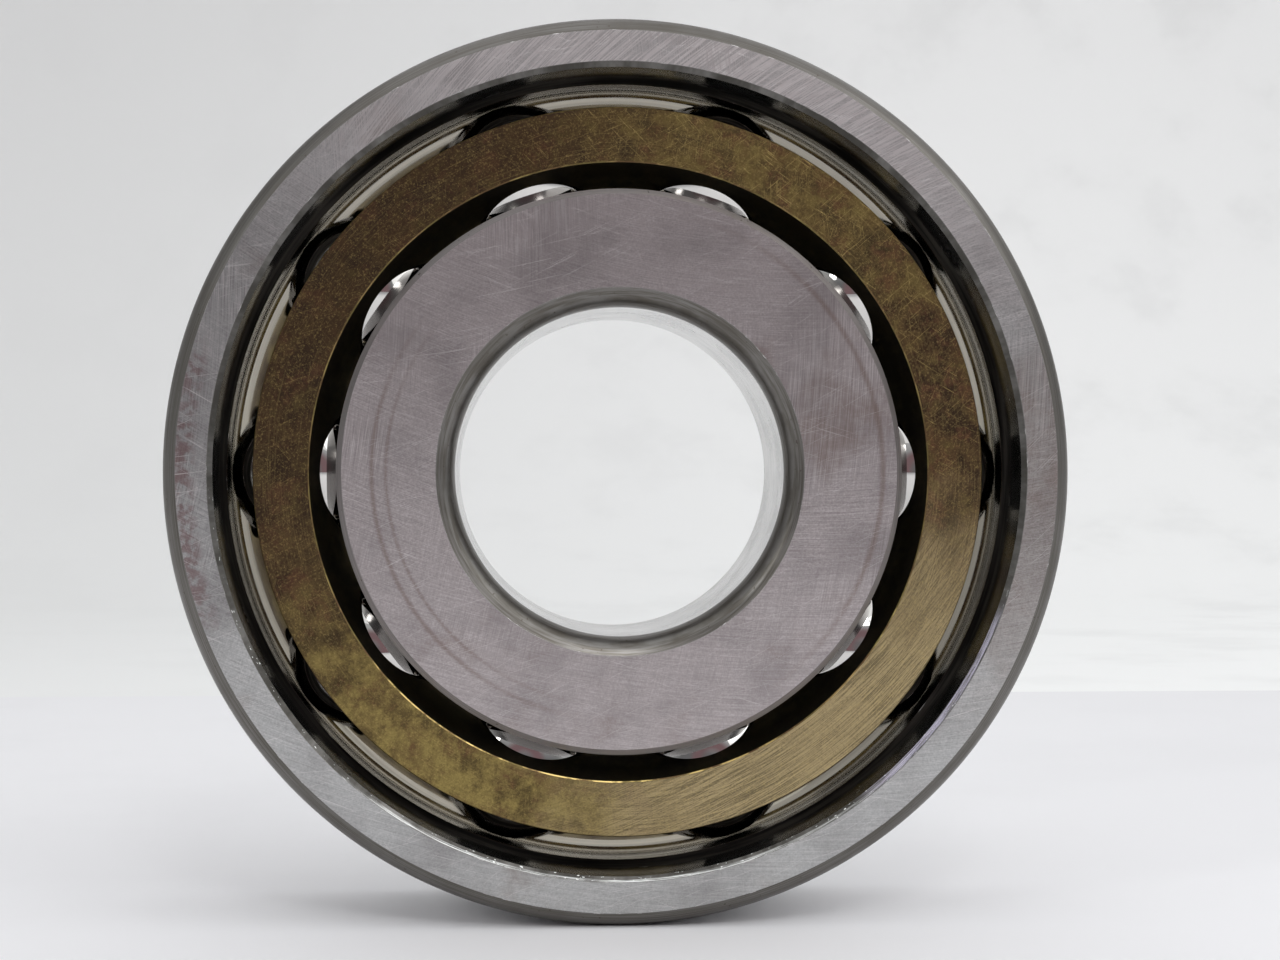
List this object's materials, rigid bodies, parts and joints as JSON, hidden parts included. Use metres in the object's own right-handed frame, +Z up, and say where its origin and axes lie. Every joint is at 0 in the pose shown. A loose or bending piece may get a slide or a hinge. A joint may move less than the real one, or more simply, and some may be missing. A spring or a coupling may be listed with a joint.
{
  "type": "angular contact ball bearing",
  "caption": "Open single-row angular contact ball bearing with a counterbored outer ring, steel balls and a machined brass cage; carries a shaft under radial and one-way axial load.",
  "frame": {"origin": "middle of the bore, at mid-width", "axes": "+Y along the bearing axis from the front (counterbored outer ring, high inner shoulder) to the back; +Z up, standing on the outer ring's rim"},
  "size_m": [0.11, 0.027, 0.11],
  "materials": {
    "ring_steel": "ground faces, polished raceways",
    "ball_steel": "mirror polished",
    "cage_brass": "turned, with a brown patina"
  },
  "bodies": {
    "outer_ring": {"outer_ring": "ring_steel"},
    "inner_ring": {"inner_ring": "ring_steel"},
    "cage": {"cage": "cage_brass"},
    "ball_01": {"ball_01": "ball_steel"},
    "ball_02": {"ball_02": "ball_steel"},
    "ball_03": {"ball_03": "ball_steel"},
    "ball_04": {"ball_04": "ball_steel"},
    "ball_05": {"ball_05": "ball_steel"},
    "ball_06": {"ball_06": "ball_steel"},
    "ball_07": {"ball_07": "ball_steel"},
    "ball_08": {"ball_08": "ball_steel"},
    "ball_09": {"ball_09": "ball_steel"},
    "ball_10": {"ball_10": "ball_steel"}
  },
  "joints": [
    {"name": "inner_ring_spin", "type": "hinge", "parent": "outer_ring", "child": "inner_ring", "pos_m": [0, 0, 0], "axis": [0, 1, 0], "continuous": true},
    {"name": "cage_spin", "type": "hinge", "parent": "outer_ring", "child": "cage", "pos_m": [0, 0, 0], "axis": [0, 1, 0], "continuous": true},
    {"name": "ball_01_spin", "type": "hinge", "parent": "cage", "child": "ball_01", "pos_m": [0.01174, 0, 0.03614], "axis": [-0.1986, 0.766, -0.6113], "continuous": true},
    {"name": "ball_02_spin", "type": "hinge", "parent": "cage", "child": "ball_02", "pos_m": [0.03074, 0, 0.02234], "axis": [-0.52, 0.766, -0.3778], "continuous": true},
    {"name": "ball_03_spin", "type": "hinge", "parent": "cage", "child": "ball_03", "pos_m": [0.038, 0, 0], "axis": [-0.6428, 0.766, 0], "continuous": true},
    {"name": "ball_04_spin", "type": "hinge", "parent": "cage", "child": "ball_04", "pos_m": [0.03074, 0, -0.02234], "axis": [-0.52, 0.766, 0.3778], "continuous": true},
    {"name": "ball_05_spin", "type": "hinge", "parent": "cage", "child": "ball_05", "pos_m": [0.01174, 0, -0.03614], "axis": [-0.1986, 0.766, 0.6113], "continuous": true},
    {"name": "ball_06_spin", "type": "hinge", "parent": "cage", "child": "ball_06", "pos_m": [-0.01174, 0, -0.03614], "axis": [0.1986, 0.766, 0.6113], "continuous": true},
    {"name": "ball_07_spin", "type": "hinge", "parent": "cage", "child": "ball_07", "pos_m": [-0.03074, 0, -0.02234], "axis": [0.52, 0.766, 0.3778], "continuous": true},
    {"name": "ball_08_spin", "type": "hinge", "parent": "cage", "child": "ball_08", "pos_m": [-0.038, 0, 0], "axis": [0.6428, 0.766, 0], "continuous": true},
    {"name": "ball_09_spin", "type": "hinge", "parent": "cage", "child": "ball_09", "pos_m": [-0.03074, 0, 0.02234], "axis": [0.52, 0.766, -0.3778], "continuous": true},
    {"name": "ball_10_spin", "type": "hinge", "parent": "cage", "child": "ball_10", "pos_m": [-0.01174, 0, 0.03614], "axis": [0.1986, 0.766, -0.6113], "continuous": true}
  ],
  "couplings": [
    {"joint": "cage_spin", "follows": "inner_ring_spin", "ratio": 0.3992},
    {"joint": "ball_01_spin", "follows": "inner_ring_spin", "ratio": -1.8228},
    {"joint": "ball_02_spin", "follows": "inner_ring_spin", "ratio": -1.8228},
    {"joint": "ball_03_spin", "follows": "inner_ring_spin", "ratio": -1.8228},
    {"joint": "ball_04_spin", "follows": "inner_ring_spin", "ratio": -1.8228},
    {"joint": "ball_05_spin", "follows": "inner_ring_spin", "ratio": -1.8228},
    {"joint": "ball_06_spin", "follows": "inner_ring_spin", "ratio": -1.8228},
    {"joint": "ball_07_spin", "follows": "inner_ring_spin", "ratio": -1.8228},
    {"joint": "ball_08_spin", "follows": "inner_ring_spin", "ratio": -1.8228},
    {"joint": "ball_09_spin", "follows": "inner_ring_spin", "ratio": -1.8228},
    {"joint": "ball_10_spin", "follows": "inner_ring_spin", "ratio": -1.8228}
  ]
}
